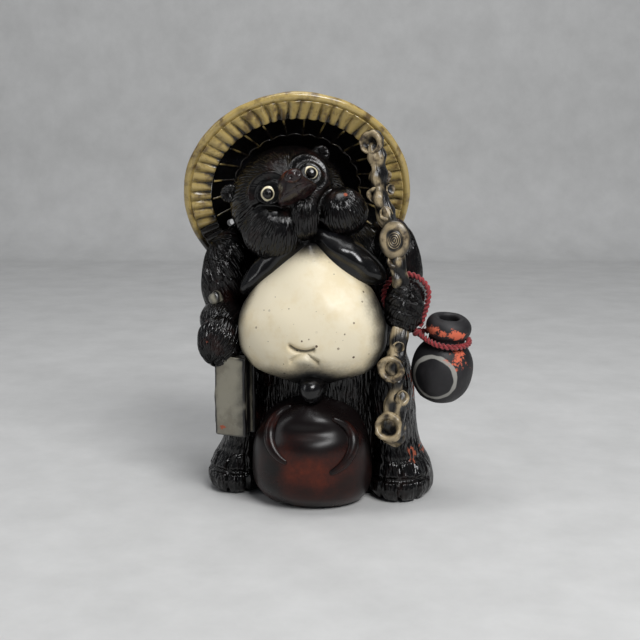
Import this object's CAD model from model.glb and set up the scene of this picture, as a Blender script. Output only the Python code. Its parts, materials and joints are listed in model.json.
"""Looks of a glazed stoneware raccoon dog with a straw hat, an account book, a staff and a hanging flask.

Every clay piece is a surface on a grid: a form worked out as whole arrays in millimetres, swollen along
its own outward directions by combing, toes, ribs or chips of glaze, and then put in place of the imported
solid.
"""

import json
import math
from types import SimpleNamespace

import bmesh
import bpy
import numpy as np
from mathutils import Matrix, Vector


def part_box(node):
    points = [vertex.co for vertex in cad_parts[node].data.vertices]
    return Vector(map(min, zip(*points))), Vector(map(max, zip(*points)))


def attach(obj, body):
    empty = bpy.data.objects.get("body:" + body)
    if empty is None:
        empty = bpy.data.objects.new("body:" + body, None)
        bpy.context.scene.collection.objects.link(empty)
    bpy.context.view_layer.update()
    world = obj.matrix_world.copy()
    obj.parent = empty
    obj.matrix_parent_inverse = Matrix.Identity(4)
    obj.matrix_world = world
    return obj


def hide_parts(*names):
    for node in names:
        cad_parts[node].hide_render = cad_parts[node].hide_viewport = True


bl_info = {
    "name": "Stoneware raccoon dog",
    "version": (1, 0, 0),
    "blender": (4, 5, 0),
    "location": "3D View > Sidebar > Statue",
    "description": "Dresses the packed solids of a standing stoneware figure",
    "category": "Add Mesh",
}

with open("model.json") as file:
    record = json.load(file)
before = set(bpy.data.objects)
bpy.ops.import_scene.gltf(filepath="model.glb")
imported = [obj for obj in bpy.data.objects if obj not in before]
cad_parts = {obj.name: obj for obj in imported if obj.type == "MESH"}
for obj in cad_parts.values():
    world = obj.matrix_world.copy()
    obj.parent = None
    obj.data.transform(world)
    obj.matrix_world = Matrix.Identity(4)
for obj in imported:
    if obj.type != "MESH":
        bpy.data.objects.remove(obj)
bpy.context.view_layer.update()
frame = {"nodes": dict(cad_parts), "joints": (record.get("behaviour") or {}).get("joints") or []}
JOINTS = {joint["name"]: joint for joint in frame["joints"]}
MM = 0.001
TAU = 2 * math.pi

# Sockets of a Mix node, whose names repeat: the share, two values, two colours, and the mixed colour.
SHARE, VALUE_A, VALUE_B, COLOUR_A, COLOUR_B = 0, 2, 3, 6, 7
MIXED = 2

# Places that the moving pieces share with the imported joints, in millimetres.
WRIST = np.array(JOINTS["flask_swing"]["pos_m"]) / MM
KNOT = np.array(JOINTS["flask_sway"]["pos_m"]) / MM
FLASK_FOOT = np.array(JOINTS["flask_turn"]["pos_m"]) / MM
FLASK_UP = np.array(JOINTS["flask_turn"]["axis"]) / np.linalg.norm(JOINTS["flask_turn"]["axis"])

# Where the viewer stands, which is also the camera's place.
VIEWER = np.array((149.85, -854.87, 283.62))

# Camera: lens and sensor in mm, and tilt and turn in degrees.
LENS = 64.7
SENSOR = 36.0
CAMERA_TILT = 80.0
CAMERA_TURN = 10.0

# Head: middle, radii, roll, and the tip of the nose from the middle, which is where it gazes.
HEAD_AT = np.array((-23.0, -11.0, 222.0))
HEAD_RADII = (44.0, 41.0, 41.0)
HEAD_ROLL = -20.0
GAZE = np.array((15.0, -56.0, 21.5))

# Cheeks: middle and radii.
RIGHT_CHEEK = ((-28.0, -38.0, 202.0), (24.0, 20.0, 21.5))
LEFT_CHEEK = ((21.0, -27.0, 215.5), (18.5, 20.0, 18.5))

# Eyes and pupils are balls.
EYE_RADIUS = 6.3
PUPIL_RADIUS = 3.9

# Hat: middle of its mouth, pitch and roll, and its radii.
HAT_AT = np.array((-20.5, 12.0, 223.0))
HAT_PITCH = 30.0
HAT_ROLL = 23.0
RIM_RADIUS = 83.6
RIM_BEAD = 3.7
BRIM_INNER = 66.0
BRIM_THICK = 6.0
BRIM_DISH = 3.0
CROWN_DEPTH = 17.0
CROWN_WALL = 7.0

# Hat: depth of the band's ribs, and the thin ribs in the crown: where they start and how far they stand out.
RIB_DEPTH = 3.6
SPOKE_START = 47.0
SPOKE_OUT = 0.25

# Body: height, half width, middle and half depth, then shares of these up the body.
BODY_HEIGHT = 206.0
BODY_HALF_WIDTH = 63.0
BODY_MIDDLE = 20.0
BODY_HALF_DEPTH = 58.0
BODY_SHAPE = ((0.0, 0.94, 0.90), (0.1, 0.98, 0.953), (0.27, 1.0, 1.0), (0.44, 0.998, 1.015),
              (0.61, 0.98, 1.0), (0.73, 0.94, 0.958), (0.85, 0.84, 0.86), (0.94, 0.673, 0.706),
              (1.0, 0.44, 0.50))
BODY_ROWS = [(share * BODY_HEIGHT, 0.0, wide * BODY_HALF_WIDTH,
              BODY_MIDDLE - deep * BODY_HALF_DEPTH, BODY_MIDDLE + deep * BODY_HALF_DEPTH)
             for share, wide, deep in BODY_SHAPE]

# Belly: lowest level, height, half width, back and bulge, then shares of these up the belly.
BELLY_LOW = 92.0
BELLY_HEIGHT = 102.0
BELLY_HALF_WIDTH = 55.5
BELLY_BACK = -5.0
BELLY_BULGE = 70.5
BELLY_SHAPE = ((0.0, 0.34, 0.70), (0.06, 0.66, 0.83), (0.20, 0.92, 0.96), (0.38, 1.0, 1.0),
               (0.57, 0.90, 0.96), (0.75, 0.66, 0.84), (0.90, 0.33, 0.71), (1.0, 0.08, 0.62))
BELLY_ROWS = [(BELLY_LOW + share * BELLY_HEIGHT, 0.0, wide * BELLY_HALF_WIDTH,
               BELLY_BACK - bulge * BELLY_BULGE, BELLY_BACK)
              for share, wide, bulge in BELLY_SHAPE]

# Money bag: height, half width and bulge, then shares of these up the bag.
BAG_HEIGHT = 82.0
BAG_HALF_WIDTH = 44.5
BAG_BULGE = 78.0
BAG_SHAPE = ((0.0, 0.80, 0.76), (0.12, 0.94, 0.90), (0.42, 1.0, 1.0), (0.70, 0.88, 0.985), (0.90, 0.56, 0.90),
             (1.0, 0.14, 0.80))
BAG_ROWS = [(share * BAG_HEIGHT, 0.0, wide * BAG_HALF_WIDTH, -BAG_BULGE * bulge, 0.0)
            for share, wide, bulge in BAG_SHAPE]

# Ridges on the bag: middle and radii of their arcs, how far round they go, and their thickness and taper.
RIDGES_X = 4.0
RIDGES_Z = 55.0
RIDGE_SHIFT = 3.5
RIDGE_WIDE = 30.0
RIDGE_HIGH = 22.0
RIDGE_ARC = 120.0
RIDGE_RADIUS = 4.5
RIDGE_TAPER = 1.1

# Knob over the bag.
KNOB_AT = np.array((4.0, -56.0, 91.0))
KNOB_RADII = (10.5, 18.0, 12.0)

# Legs: height, place of the feet, how far the legs lean in, half width, back and depth, then shares of these.
LEG_HEIGHT = 114.0
LEG_X = 63.0
LEG_LEAN = 12.0
LEG_HALF_WIDTH = 25.5
LEG_BACK = 36.0
LEG_DEPTH = 78.0
LEG_SHAPE = ((0.0, 0.0, 0.90, 0.93), (0.07, 0.0, 1.0, 1.0), (0.18, 0.06, 0.95, 0.96),
             (0.32, 0.38, 0.77, 0.91), (0.55, 0.62, 0.71, 0.90), (0.80, 0.80, 0.68, 0.90),
             (1.0, 1.0, 0.45, 0.84))

# Tail: its path down the back, and its thickness at each point.
TAIL_PATH = ((0, 71.0, 78.0), (0, 82.0, 58.5), (0, 88.0, 35.1), (0, 88.0, 15.0), (0, 84.0, 0.0))
TAIL_RADII = (7.5, 12.0, 15.0, 13.5, 9.0)

# Right upper arm, and the places of the locks on its front, across and up.
RIGHT_ARM_AT = np.array((-72.5, 0.0, 163.0))
RIGHT_ARM_RADII = np.array((21.0, 25.0, 37.0))
RIGHT_ARM_LEAN = 6.0
LOCKS = ((-80.0, 184.0), (-71.0, 185.0), (-62.0, 186.0), (-85.0, 169.0),
         (-76.0, 171.0), (-67.0, 172.0), (-61.0, 156.0))
LOCK_RADII = (3.4, 4.2, 10.0)
LOCK_SUNK = 1.6

# Left wrist, which the cord goes round.
WRIST_RADIUS = 14.0

# Account book: middle, turn, and its boards' levels, half width, thickness and distance from the middle.
BOOK_AT = np.array((-57.0, -44.0, 0.0))
BOOK_TURN = -14.0
BOOK_LOW = 50.2
BOOK_HIGH = 110.0
BOARD_HALF_WIDTH = 12.4
BOARD_HALF_THICK = 1.6
BOARD_OUT = 7.4

# Staff: the path of each branch, its radii, and its knots as place, direction and radius.
STAFF_UPPER = ((42.5, -17.5, 266.0), (45.5, -21.0, 247.0), (47.0, -24.0, 229.0), (53.5, -28.0, 213.0),
               (60.0, -31.5, 197.0), (62.0, -33.0, 180.0), (64.0, -35.0, 158.0))
STAFF_UPPER_RADII = (7.6, 6.4, 6.8, 6.6, 7.0, 6.6, 6.4)
STAFF_UPPER_KNOTS = (
    ((40.5, -22.0, 265.5), (-0.25, -1.0, 0.1), 9.0), ((50.5, -17.0, 241.0), (0.8, -0.7, 0.2), 5.2),
    ((45.0, -29.0, 228.0), (-0.2, -1.0, 0.2), 6.2), ((53.0, -32.5, 215.5), (0.1, -1.0, 0.1), 5.4),
    ((60.5, -38.0, 183.0), (0.0, -1.0, 0.1), 6.0), ((54.5, -20.5, 232.0), (0.9, -0.6, 0.0), 4.6))
STAFF_LOWER = ((65.0, -38.0, 138.0), (63.5, -43.5, 122.0), (61.0, -46.5, 106.0), (64.0, -47.5, 86.0),
               (61.5, -48.5, 65.0), (64.0, -47.0, 47.0))
STAFF_LOWER_RADII = (6.4, 6.6, 7.4, 7.2, 8.6, 7.2)
STAFF_LOWER_KNOTS = (
    ((65.0, -50.0, 121.5), (0.2, -1.0, 0.1), 4.4), ((60.5, -53.0, 106.0), (-0.05, -1.0, 0.1), 9.4),
    ((68.0, -52.5, 85.5), (0.6, -0.8, 0.0), 5.6), ((59.5, -56.0, 63.5), (-0.2, -1.0, 0.25), 10.4))

# Plate on the staff: middle, half width, half thickness and half height.
PLATE_AT = np.array((60.0, -37.5, 197.0))
PLATE_WIDE = 11.4
PLATE_THICK = 4.4
PLATE_HIGH = 14.2

# Flask: points of its profile that show from outside, and the painted ring's middle, radius and half width.
FLASK_OUTSIDE = 112
RING_AT = np.array((89.5, -34.0, 96.5))
RING_RADIUS = 15.8
RING_HALF_WIDTH = 1.6

# Cord: height of the noose on the flask, the radius of each strand and its distance from the cord's middle.
NOOSE_LEVEL = 46.5
STRAND_RADIUS = 1.3
STRAND_OUT = 1.0
KNOT_STRAND = 1.75

# Glaze: depth of its orange peel and of its hair, size of a flake that comes off, its index of refraction,
# and the roughness of the clay under it.
PEEL_MM = 0.4
HAIR_MM = 1.2
FLAKE_MM = 4.0
GLAZE_IOR = 1.52
BARE_ROUGHNESS = 0.85

# A combed hair is this many times as long as it is wide.
HAIR_LONG = 8


def linear(code):
    """Linear colour of an sRGB hex value."""
    parts = np.array([int(code[k:k + 2], 16) for k in (1, 3, 5)]) / 255
    parts = np.where(parts <= 0.04045, parts / 12.92, ((parts + 0.055) / 1.055) ** 2.4)
    return (*parts.tolist(), 1.0)


def node(tree, kind, inputs=None, **settings):
    """A shader node with its settings; each input is a value or a socket to link from."""
    made = tree.nodes.new("ShaderNode" + kind)
    for key, value in settings.items():
        setattr(made, key, value)
    for key, value in (inputs or {}).items():
        if isinstance(value, bpy.types.NodeSocket):
            tree.links.new(value, made.inputs[key])
        else:
            made.inputs[key].default_value = value
    return made


def unit(way):
    """Directions of length 1."""
    way = np.asarray(way, float)
    return way / np.linalg.norm(way, axis=-1, keepdims=True)


def about_y(degrees):
    """Turn about Y as a matrix."""
    c, s = math.cos(math.radians(degrees)), math.sin(math.radians(degrees))
    return np.array(((c, 0, s), (0, 1, 0), (-s, 0, c)))


def away_from(grid, place):
    """Distance of each point of a grid from a place."""
    return np.linalg.norm(grid.points - place, axis=-1)


def off_axis(grid, place, axis):
    """Distance of each point of a grid from the line through a place along an axis of length 1."""
    return np.linalg.norm(np.cross(grid.points - place, axis), axis=-1)


def ripple(points, size, seed):
    """Smooth noise from about -1 to 1: a sum of sine waves about `size` mm long in fixed random ways."""
    chance = np.random.default_rng(seed)
    ways = unit(chance.normal(size=(12, 3))) * TAU / size * chance.uniform(0.6, 1.5, (12, 1))
    return np.sin(points @ ways.T + chance.uniform(0, TAU, 12)).sum(-1) / 3.5


def soft_step(value, low, high):
    """0 below low, 1 above high, and 3t^2 - 2t^3 between; with low over high it falls instead."""
    t = np.clip((value - low) / (high - low), 0, 1)
    return t * t * (3 - 2 * t)


def hump(distance, width):
    """Bell of height 1: e to the minus square of the distance over the width."""
    return np.exp(-(distance / width) ** 2)


def through(places, values, at):
    """Cubic through values at places, whose slope at each is that between its neighbours."""
    places = np.asarray(places, float)
    values = np.asarray(values, float)
    slopes = np.gradient(values, places, axis=0)
    k = np.clip(np.searchsorted(places, at) - 1, 0, len(places) - 2)
    step = (places[k + 1] - places[k]).reshape(-1, *[1] * (values.ndim - 1))
    t = (at - places[k]).reshape(step.shape) / step
    start = (2 * t ** 3 - 3 * t ** 2 + 1) * values[k] + (t ** 3 - 2 * t ** 2 + t) * step * slopes[k]
    return start + (3 * t ** 2 - 2 * t ** 3) * values[k + 1] + (t ** 3 - t ** 2) * step * slopes[k + 1]


def lengths_along(path):
    """Length of a path of points from its start to each point."""
    return np.concatenate([[0], np.cumsum(np.linalg.norm(np.diff(path, axis=0), axis=1))])


def tube_round(line, first, second, radius, columns):
    """Circles of one radius, or of one for each point, carried along a line square to it."""
    u = np.linspace(0, TAU, columns, endpoint=False)[None, :]
    circle = np.cos(u)[..., None] * first[:, None] + np.sin(u)[..., None] * second[:, None]
    return u, line[:, None] + np.reshape(radius, (-1, 1, 1)) * circle


def form(points, turn, along, girth, loop=False):
    """A grid of points in mm with the angle round it, the way along it, its girth and bare paint masks."""
    size = points.shape[:2]
    return SimpleNamespace(
        points=points, turn=np.broadcast_to(turn, size), along=np.broadcast_to(along, size), girth=girth,
        loop=loop, shade=np.zeros(size), wear=np.zeros(size), combed=np.zeros(size))


def egg(centre, radii, roll=0.0, pole=(0, 0, 1), columns=120, rows=80):
    """Egg: each direction from the middle, stretched by three radii in a frame rolled about Y.

    Columns go round the pole and rows from pole to pole, so hair combed along the rows spreads from
    the pole."""
    near_pole = 0.008
    u = np.linspace(0, TAU, columns, endpoint=False)[None, :, None]
    v = np.linspace(near_pole, math.pi - near_pole, rows)[:, None, None]
    pole = unit(pole)
    first = unit(np.cross(pole, (0.3, 1.0, 0.2)))
    way = np.cos(v) * pole + np.sin(v) * (np.cos(u) * first + np.sin(u) * np.cross(pole, first))
    turned_by = about_y(roll)
    points = np.asarray(centre) + (way @ turned_by * np.asarray(radii)) @ turned_by.T
    size = float(np.mean(radii))
    return form(points, u[..., 0], v[..., 0] * size, TAU * size)


def stack(rows, columns=160, levels=100, rounding=3.0, power=2.0, half=0):
    """Upright form: level rings |x|^p + |y|^p = 1 whose middle, half width, front and back run through rows.

    Both ends are rounded. With half 1 or -1 a ring is the back or the front half, closed by its chord."""
    table = np.array(rows, float).T
    z = table[0][0] + (table[0][-1] - table[0][0]) * (1 - np.cos(np.linspace(0, math.pi, levels))) / 2
    middle, wide, front, back = (through(table[0], values, z)[:, None] for values in table[1:])
    end = np.minimum(np.minimum(z - z[0], z[-1] - z), rounding)[:, None]
    inset = rounding - np.sqrt(np.maximum(rounding ** 2 - (rounding - end) ** 2, 0))
    s = np.linspace(0, 1, columns, endpoint=False)[None, :]
    u = TAU * s
    chord = np.zeros_like(u)
    if half:
        # Four fifths of the columns go round the half ring, and the rest along its chord.
        u = half * math.pi * np.clip(s / 0.8, 0, 1)
        chord = np.clip((s - 0.8) / 0.2, 0, 1)
    x = np.sign(np.cos(u)) * np.abs(np.cos(u)) ** (2 / power) + chord * 2
    y = np.sign(np.sin(u)) * np.abs(np.sin(u)) ** (2 / power)
    points = np.stack([middle + (wide - inset) * x, (front + back) / 2 + ((back - front) / 2 - inset) * y,
                       np.broadcast_to(z[:, None], (levels, columns))], -1)
    return form(points, u, z[:, None], TAU * float(wide.mean()))


def limb(path, radii, columns=32, rows=80, beside=(0, 1, 0)):
    """Branch: circles carried along a smooth path, square to it, with half-round ends."""
    path = np.asarray(path, float)
    places = lengths_along(path)
    at = places[-1] * (1 - np.cos(np.linspace(0, math.pi, rows))) / 2
    line = through(places, path, at)
    radius = through(places, np.asarray(radii, float), at)
    end = np.minimum(np.minimum(at, places[-1] - at), radius)
    radius = np.sqrt(np.maximum(radius ** 2 - (radius - end) ** 2, 1e-4))
    tangent = unit(np.gradient(line, axis=0))
    first = unit(np.cross(tangent, beside))
    u, points = tube_round(line, first, np.cross(tangent, first), radius, columns)
    return form(points, u, at[:, None], TAU * float(np.mean(radii)))


def turned(profile, foot, axis, columns=120, loop=False, start=None):
    """Turned form: a profile of (radius, height) points carried round an axis from its foot."""
    profile = np.asarray(profile, float)
    axis = unit(axis)
    first = unit(np.cross(axis, (0.2, 0.1, 1.0)) if start is None else start)
    u = np.linspace(0, TAU, columns, endpoint=False)[None, :, None]
    ring = np.cos(u) * first + np.sin(u) * np.cross(axis, first)
    points = np.asarray(foot) + profile[:, 1, None, None] * axis + profile[:, 0, None, None] * ring
    return form(points, u[..., 0], lengths_along(profile)[:, None], TAU * float(profile[:, 0].max()), loop)


def arc(first, middle, last, count):
    """Points on the circle through three (radius, height) points, from the first to the last."""
    a, b, c = (complex(*point) for point in (first, middle, last))
    w = (c - a) / (b - a)
    centre = (b - a) * (w - abs(w) ** 2) / (2j * w.imag) + a
    way = np.unwrap([np.angle(point - centre) for point in (a, b, c)])
    angle = np.linspace(way[0], way[2], count)
    radius = abs(a - centre)
    return np.stack([centre.real + radius * np.cos(angle), centre.imag + radius * np.sin(angle)], -1)


def outward(grid):
    """Outward directions: the steps round and along the grid, crossed, and turned away from its middle."""
    across = np.roll(grid.points, -1, 1) - np.roll(grid.points, 1, 1)
    if grid.loop:
        along = np.roll(grid.points, -1, 0) - np.roll(grid.points, 1, 0)
    else:
        along = np.gradient(grid.points, axis=0)
    out = np.cross(across, along)
    out = out / np.maximum(np.linalg.norm(out, axis=-1, keepdims=True), 1e-9)
    return out * np.sign(np.sum(out * (grid.points - grid.points.mean((0, 1)))))


def swell(grid, height):
    """Moves each point of a grid outwards by a height in mm."""
    grid.points = grid.points + outward(grid) * np.asarray(height)[..., None]
    return grid


def tufts(grid, pitch, seed):
    """Combed clay, 0 in a groove and 1 on a ridge: half waves round the form that wander along the hair."""
    count = max(round(grid.girth / pitch), 6)
    wander = ripple(grid.points, 26.0, seed) * 1.6 + ripple(grid.points, 9.0, seed + 1) * 0.7
    ridge = np.abs(np.sin(count * grid.turn / 2 + wander)) ** 0.7
    return ridge * (0.75 + 0.25 * ripple(grid.points, 12.0, seed + 2))


def comb(grid, depth, pitch=3.4, seed=1, amount=1.0):
    """Combs a grid: grooves of a depth in mm, and the mask that the glaze reads for its finer hair."""
    grid.combed = grid.combed + amount
    return swell(grid, depth * amount * (tufts(grid, pitch, seed) - 1))


def skin(name, grids, finish, nodes=(), body="statue"):
    """One object from grids: quads between neighbouring points, and a fan to the middle of each open end.

    The hair attribute is a place on a cylinder, one unit a hair wide, so hair has no seam."""
    pitch = bpy.context.scene.statue_sizes.hair_pitch
    places, quads, fans = [], [], []
    masks = {"shade": [], "wear": [], "combed": [], "hair": []}
    start = 0
    for grid in grids:
        rows, columns = grid.points.shape[:2]
        index = start + np.arange(rows * columns).reshape(rows, columns)
        low = index if grid.loop else index[:-1]
        high = np.roll(index, -1, 0) if grid.loop else index[1:]
        quads.append(np.stack([low, np.roll(low, -1, 1), np.roll(high, -1, 1), high], -1).reshape(-1, 4))
        places.append(grid.points.reshape(-1, 3))
        round_hair = grid.girth / (TAU * pitch)
        hair = np.stack([round_hair * np.cos(grid.turn), round_hair * np.sin(grid.turn),
                         grid.along / (HAIR_LONG * pitch)], -1)
        values = {"shade": grid.shade, "wear": grid.wear, "combed": grid.combed, "hair": hair}
        for key, value in values.items():
            masks[key].append(value.reshape(rows * columns, -1))
        start += rows * columns
        if not grid.loop:
            for ring, middle in ((index[0], start), (index[-1][::-1], start + 1)):
                fans.append(np.stack([np.roll(ring, -1), ring, np.full(columns, middle)], -1))
            places.append(np.stack([grid.points[0].mean(0), grid.points[-1].mean(0)]))
            for key, value in values.items():
                masks[key].append(np.stack([value[0].mean(0), value[-1].mean(0)]).reshape(2, -1))
            start += 2
    mesh = bpy.data.meshes.new(name)
    faces = np.concatenate(quads).tolist() + (np.concatenate(fans).tolist() if fans else [])
    mesh.from_pydata((np.concatenate(places) * MM).tolist(), [], faces)
    for key, kind, field in (("shade", "FLOAT", "value"), ("wear", "FLOAT", "value"),
                             ("combed", "FLOAT", "value"), ("hair", "FLOAT_VECTOR", "vector")):
        layer = mesh.attributes.new(key, kind, "POINT")
        layer.data.foreach_set(field, np.concatenate(masks[key]).astype(np.float32).ravel())
    shell = bmesh.new()
    shell.from_mesh(mesh)
    bmesh.ops.recalc_face_normals(shell, faces=shell.faces)
    shell.to_mesh(mesh)
    shell.free()
    mesh.polygons.foreach_set("use_smooth", np.ones(len(mesh.polygons), bool))
    mesh.materials.append(finish)
    piece = bpy.data.objects.new(name, mesh)
    bpy.context.scene.collection.objects.link(piece)
    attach(piece, body)
    if nodes:
        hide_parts(*nodes)
    return piece


def dress(finish, *nodes):
    """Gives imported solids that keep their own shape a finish."""
    for name in nodes:
        materials = frame["nodes"][name].data.materials
        materials.clear()
        materials.append(finish)


def finish_of(name, make):
    """A finish by its name, made on its first use."""
    return bpy.data.materials.get(name) or make(name)


def bare_material(name):
    """An empty material and its tree of nodes."""
    material = bpy.data.materials.new(name)
    material.use_nodes = True
    material.node_tree.nodes.clear()
    return material, material.node_tree


def stoneware(name, colour, stain, stain_mm=14.0, stain_from=0.5, rough=(0.2, 0.36), ridge=None, hair=0.0,
              grain_mm=1.4, grain=0.12, coat=0.3, shine=0.5, speck_mm=0.0, shade=None, shade_soft=(0.3, 0.75),
              chip=None):
    """Glazed stoneware: a body colour that breaks to a stain in clouds, combed hair, specks, an airbrushed
    shade and chips down to the clay. Sizes are in mm. The clouds also vary the gloss."""
    colours = bpy.context.scene.statue_colours
    material, tree = bare_material(name)
    place = node(tree, "TexCoord").outputs["Object"]
    cloud = node(tree, "TexNoise", {"Vector": place, "Scale": 1000 / stain_mm, "Detail": 5.0,
                                    "Roughness": 0.62}).outputs["Fac"]
    broken = node(tree, "MapRange", {"Value": cloud, "From Min": stain_from, "From Max": stain_from + 0.2},
                  interpolation_type="SMOOTHSTEP").outputs[0]
    paint = node(tree, "Mix", {SHARE: broken, COLOUR_A: colour, COLOUR_B: stain},
                 data_type="RGBA").outputs[MIXED]
    way = node(tree, "Attribute", attribute_name="hair").outputs["Vector"]
    streak = node(tree, "TexNoise", {"Vector": way, "Scale": 1.0, "Detail": 1.2,
                                     "Roughness": 0.5}).outputs["Fac"]
    combed = node(tree, "Attribute", attribute_name="combed").outputs["Fac"]
    sharp = node(tree, "MapRange", {"Value": streak, "From Min": 0.34, "From Max": 0.66}).outputs[0]
    lift = node(tree, "Math", {0: sharp, 1: combed}, operation="MULTIPLY").outputs[0]
    if ridge is not None:
        worn = node(tree, "MapRange", {"Value": lift, "From Min": 0.55, "From Max": 1.0,
                                       "To Max": 0.5}).outputs[0]
        paint = node(tree, "Mix", {SHARE: worn, COLOUR_A: paint, COLOUR_B: ridge},
                     data_type="RGBA").outputs[MIXED]
    if speck_mm:
        cell = node(tree, "TexVoronoi", {"Vector": place, "Scale": 1000 / speck_mm, "Randomness": 1.0})
        odd = node(tree, "SeparateColor", {"Color": cell.outputs["Color"]})
        size = node(tree, "MapRange", {"Value": odd.outputs["Red"], "From Min": 0.45, "From Max": 1.0,
                                       "To Max": 0.2}).outputs[0]
        dot = node(tree, "Math", {0: cell.outputs["Distance"], 1: size}, operation="LESS_THAN").outputs[0]
        faint = node(tree, "Math", {0: dot, 1: odd.outputs["Green"]}, operation="MULTIPLY").outputs[0]
        paint = node(tree, "Mix", {SHARE: faint, COLOUR_A: paint, COLOUR_B: colours.speck},
                     data_type="RGBA").outputs[MIXED]
    fine = node(tree, "TexNoise", {"Vector": place, "Scale": 1000 / grain_mm, "Detail": 3.0,
                                   "Roughness": 0.6}).outputs["Fac"]
    if shade is not None:
        # The grain roughens the edge of the spray, and its mean is taken off again.
        speckle = node(tree, "Math", {0: fine, 1: 0.22}, operation="MULTIPLY").outputs[0]
        edge = node(tree, "Attribute", attribute_name="shade").outputs["Fac"]
        cover = node(tree, "Math", {0: edge, 1: speckle}, operation="ADD").outputs[0]
        cover = node(tree, "MapRange", {"Value": cover, "From Min": shade_soft[0] + 0.11,
                                        "From Max": shade_soft[1] + 0.11},
                     interpolation_type="SMOOTHSTEP").outputs[0]
        paint = node(tree, "Mix", {SHARE: cover, COLOUR_A: paint, COLOUR_B: shade},
                     data_type="RGBA").outputs[MIXED]
    flake = node(tree, "TexNoise", {"Vector": place, "Scale": 1000 / FLAKE_MM, "Detail": 6.0,
                                    "Roughness": 0.75}).outputs["Fac"]
    wear = node(tree, "Attribute", attribute_name="wear").outputs["Fac"]
    bare = node(tree, "Math", {0: flake, 1: wear}, operation="ADD").outputs[0]
    bare = node(tree, "MapRange", {"Value": bare, "From Min": 0.98, "From Max": 1.04}).outputs[0]
    paint = node(tree, "Mix", {SHARE: bare, COLOUR_A: paint, COLOUR_B: chip or colours.clay},
                 data_type="RGBA").outputs[MIXED]
    gloss = node(tree, "MapRange", {"Value": cloud, "From Min": 0.3, "From Max": 0.7,
                                    "To Min": rough[0], "To Max": rough[1]}).outputs[0]
    gloss = node(tree, "Mix", {SHARE: bare, VALUE_A: gloss, VALUE_B: BARE_ROUGHNESS},
                 data_type="FLOAT").outputs[0]
    # Fine orange peel first, then the hair over it.
    bump = node(tree, "Bump", {"Height": fine, "Strength": grain, "Distance": PEEL_MM * MM}).outputs[0]
    if hair:
        bump = node(tree, "Bump", {"Height": lift, "Strength": hair, "Distance": HAIR_MM * MM,
                                   "Normal": bump}).outputs[0]
    surface = node(tree, "BsdfPrincipled", {
        "Base Color": paint, "Roughness": gloss, "Normal": bump, "IOR": GLAZE_IOR,
        "Specular IOR Level": shine, "Coat Weight": coat, "Coat Roughness": 0.14})
    node(tree, "OutputMaterial", {"Surface": surface.outputs[0]})
    return material


def black_glaze():
    """Iron black glaze over combed clay: dark and wet, breaking to brown on the ridges of the hair."""
    c = bpy.context.scene.statue_colours
    return finish_of("iron_black_glaze_combed", lambda name: stoneware(
        name, c.black, c.brown, stain_mm=24.0, stain_from=0.54, rough=(0.11, 0.22), ridge=c.ridge, hair=0.7,
        coat=0.0, shine=0.38))


def smooth_black_glaze():
    """The same black glaze where it is thick and smooth, as on the lappets and the hat's inside."""
    c = bpy.context.scene.statue_colours
    return finish_of("iron_black_glaze_thick", lambda name: stoneware(
        name, c.black, c.blue_black, stain_mm=26.0, rough=(0.14, 0.3), grain_mm=3.0, grain=0.32, coat=0.0,
        shine=0.45))


def cream_glaze():
    """Feldspar white glaze with iron specks, under a black spray round its edge."""
    c = bpy.context.scene.statue_colours
    return finish_of("feldspar_cream_glaze", lambda name: stoneware(
        name, c.cream, c.cream_deep, stain_mm=26.0, stain_from=0.44, rough=(0.42, 0.54), grain_mm=1.8,
        grain=0.1, coat=0.08, speck_mm=5.0, shade=c.black, shade_soft=(0.05, 0.95)))


def gold_wash():
    """Dull gold wash: satin and streaky, with dark wash left in the hollows."""
    c = bpy.context.scene.statue_colours
    return finish_of("gold_wash", lambda name: stoneware(
        name, c.gold, c.gold_dark, stain_mm=9.0, stain_from=0.47, rough=(0.17, 0.32), grain=0.2, coat=0.2,
        shade=c.gold_deep, shade_soft=(0.1, 0.85)))


def red_glaze():
    """Red iron glaze: deep and glossy, going to black where it was sprayed."""
    c = bpy.context.scene.statue_colours
    return finish_of("red_iron_glaze", lambda name: stoneware(
        name, c.red, c.red_dark, stain_mm=34.0, stain_from=0.45, rough=(0.24, 0.36), grain_mm=2.0, grain=0.1,
        coat=0.0, shine=0.22, shade=c.bag_dark, shade_soft=(0.0, 1.0)))


def brown_glaze():
    """Thin brown-black glaze of the snout, smooth and satin, with red where it runs off an edge."""
    c = bpy.context.scene.statue_colours
    return finish_of("thin_brown_glaze", lambda name: stoneware(
        name, c.snout, c.snout_red, stain_mm=9.0, stain_from=0.5, rough=(0.2, 0.34), grain_mm=1.6, grain=0.12,
        coat=0.0, shade=c.red, shade_soft=(0.3, 1.1)))


def branch_wash():
    """Pale wash rubbed over black, as on an old branch: pale on what stands out, black in the hollows."""
    c = bpy.context.scene.statue_colours
    return finish_of("rubbed_branch_wash", lambda name: stoneware(
        name, c.branch, c.branch_dark, stain_mm=8.0, stain_from=0.46, rough=(0.24, 0.4), grain=0.25, coat=0.0,
        hair=0.4, shade=c.black, shade_soft=(0.0, 1.0)))


def book_glaze():
    """Thin pale glaze on the book, grey at its edges."""
    c = bpy.context.scene.statue_colours
    return finish_of("thin_book_glaze", lambda name: stoneware(
        name, c.book, c.book_dark, stain_mm=16.0, stain_from=0.45, rough=(0.3, 0.45), grain=0.18, coat=0.1,
        shade=c.black, shade_soft=(0.0, 1.0)))


def eye_glaze():
    """Cream glaze of the eyes, thick and glossy."""
    c = bpy.context.scene.statue_colours
    return finish_of("cream_eye_glaze", lambda name: stoneware(
        name, c.eye, c.cream_deep, stain_mm=9.0, rough=(0.14, 0.2), grain=0.03, coat=0.6, shade=c.black))


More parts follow.
